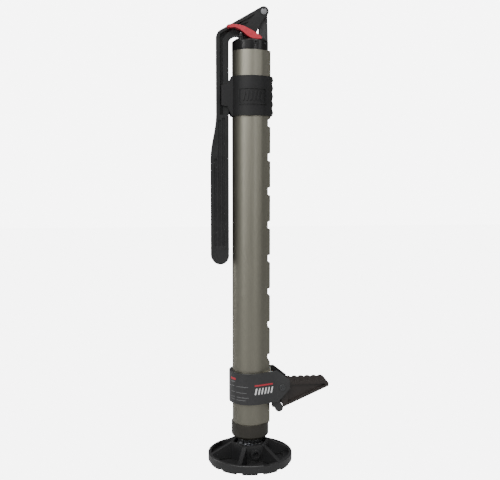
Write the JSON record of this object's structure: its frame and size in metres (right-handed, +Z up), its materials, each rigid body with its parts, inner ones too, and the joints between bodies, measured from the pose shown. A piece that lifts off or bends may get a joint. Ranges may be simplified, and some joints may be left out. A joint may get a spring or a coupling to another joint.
{
  "type": "hydraulic tube jack",
  "caption": "Tall hydraulic tube jack on a swivel foot, with a notched rail, sliding lifting hook, folded pump handle, release lever and rubber strap.",
  "frame": {"origin": "centre of the foot's underside, on the ground plane", "axes": "+Z up the cylinder, +X towards the notched rail and the hook's tongue, handle folded on the -X side, release lever on the -Y side"},
  "size_m": [0.2415, 0.169, 0.8968],
  "materials": {
    "foot_black": "cast, satin black powder coat",
    "cast_black": "cast, satin black powder coat",
    "head_black": "satin black anodised",
    "handle_black": "cast, satin black powder coat",
    "tongue_dark": "cast, semi-gloss brown-black coat",
    "tube_champagne": "brushed and anodised, satin",
    "gland_grey": "turned, dark grey",
    "link_grey": "forged, dark grey",
    "steel": "turned steel",
    "dark_pin": "black oxide steel",
    "ram_chrome": "hard chrome, polished",
    "spring_steel": "bright spring steel",
    "rubber_black": "moulded, matt",
    "seal_rubber": "moulded seal",
    "nylon": "plain nylon bearing",
    "release_red": "gloss red coat"
  },
  "bodies": {
    "foot": {"foot_plate": "foot_black", "foot_set_screw": "dark_pin", "socket_circlip": "spring_steel", "socket_cup": "nylon"},
    "ball_seat": {"socket_ring": "nylon"},
    "ram": {"ball_stud": "steel", "ram_rod": "ram_chrome", "piston": "steel", "piston_nut": "steel"},
    "ram_seal": {"piston_seal": "seal_rubber"},
    "cylinder": {"outer_tube": "tube_champagne", "pressure_cylinder": "steel", "gland_nut": "gland_grey", "rod_wiper": "seal_rubber", "rod_seal": "seal_rubber", "pump_head": "head_black", "head_seal": "seal_rubber", "filler_plug": "rubber_black", "check_valve": "steel", "link_pin": "dark_pin", "release_pivot_pin": "dark_pin", "release_spring": "spring_steel", "handle_strap": "rubber_black"},
    "hook": {"hook_carrier": "cast_black", "wear_pads": "nylon", "hook_pin": "dark_pin", "hook_pin_clip": "spring_steel", "pawl_pin": "dark_pin", "pawl_spring": "spring_steel"},
    "tongue": {"lift_tongue": "tongue_dark"},
    "pawl": {"lock_pawl": "cast_black"},
    "link": {"fulcrum_link": "link_grey"},
    "handle": {"pump_handle": "handle_black", "fulcrum_pin": "dark_pin", "fulcrum_clips": "spring_steel", "plunger_pin": "steel"},
    "plunger": {"pump_plunger": "steel", "plunger_seal": "seal_rubber"},
    "release": {"release_lever": "release_red"},
    "valve": {"release_valve": "steel"}
  },
  "joints": [
    {"name": "foot_tilt_side", "type": "hinge", "parent": "foot", "child": "ball_seat", "pos_m": [0, 0, 0.023], "axis": [1, 0, 0], "range_deg": [-7, 7]},
    {"name": "foot_tilt_fore", "type": "hinge", "parent": "ball_seat", "child": "ram", "pos_m": [0, 0, 0.023], "axis": [0, 1, 0], "range_deg": [-7, 7]},
    {"name": "cylinder_turn", "type": "hinge", "parent": "ram", "child": "ram_seal", "pos_m": [0, 0, 0], "axis": [0, 0, 1], "continuous": true},
    {"name": "jack_extend", "type": "slide", "parent": "ram_seal", "child": "cylinder", "axis": [0, 0, 1], "range_m": [0, 0.475]},
    {"name": "hook_slide", "type": "slide", "parent": "cylinder", "child": "hook", "axis": [0, 0, 1], "range_m": [0, 0.462]},
    {"name": "tongue_fold", "type": "hinge", "parent": "hook", "child": "tongue", "pos_m": [0.0615, 0, 0.1535], "axis": [0, -1, 0], "range_deg": [0, 60]},
    {"name": "pawl_lock", "type": "hinge", "parent": "hook", "child": "pawl", "pos_m": [0.056, 0, 0.112], "axis": [0, -1, 0], "range_deg": [0, 6.4]},
    {"name": "link_swing", "type": "hinge", "parent": "cylinder", "child": "link", "pos_m": [0.027, 0, 0.827], "axis": [0, 1, 0], "range_deg": [0, 22.58]},
    {"name": "handle_pump", "type": "hinge", "parent": "link", "child": "handle", "pos_m": [0.025, 0, 0.8868], "axis": [0, 1, 0], "range_deg": [0, 27.42]},
    {"name": "plunger_stroke", "type": "slide", "parent": "cylinder", "child": "plunger", "axis": [0, 0, 1], "range_m": [0, 0.0303]},
    {"name": "release_press", "type": "hinge", "parent": "cylinder", "child": "release", "pos_m": [0.002, 0, 0.838], "axis": [0, -1, 0], "range_deg": [0, 6], "stiffness_Nm_per_rad": 1},
    {"name": "valve_press", "type": "slide", "parent": "cylinder", "child": "valve", "axis": [0, 0, -1], "range_m": [0, 0.0023]}
  ],
  "couplings": [
    {"joint": "link_swing", "follows": "handle_pump", "ratio": 0.82182},
    {"joint": "plunger_stroke", "follows": "handle_pump", "m_per_rad": 0.063205},
    {"joint": "valve_press", "follows": "release_press", "m_per_rad": 0.0215}
  ]
}
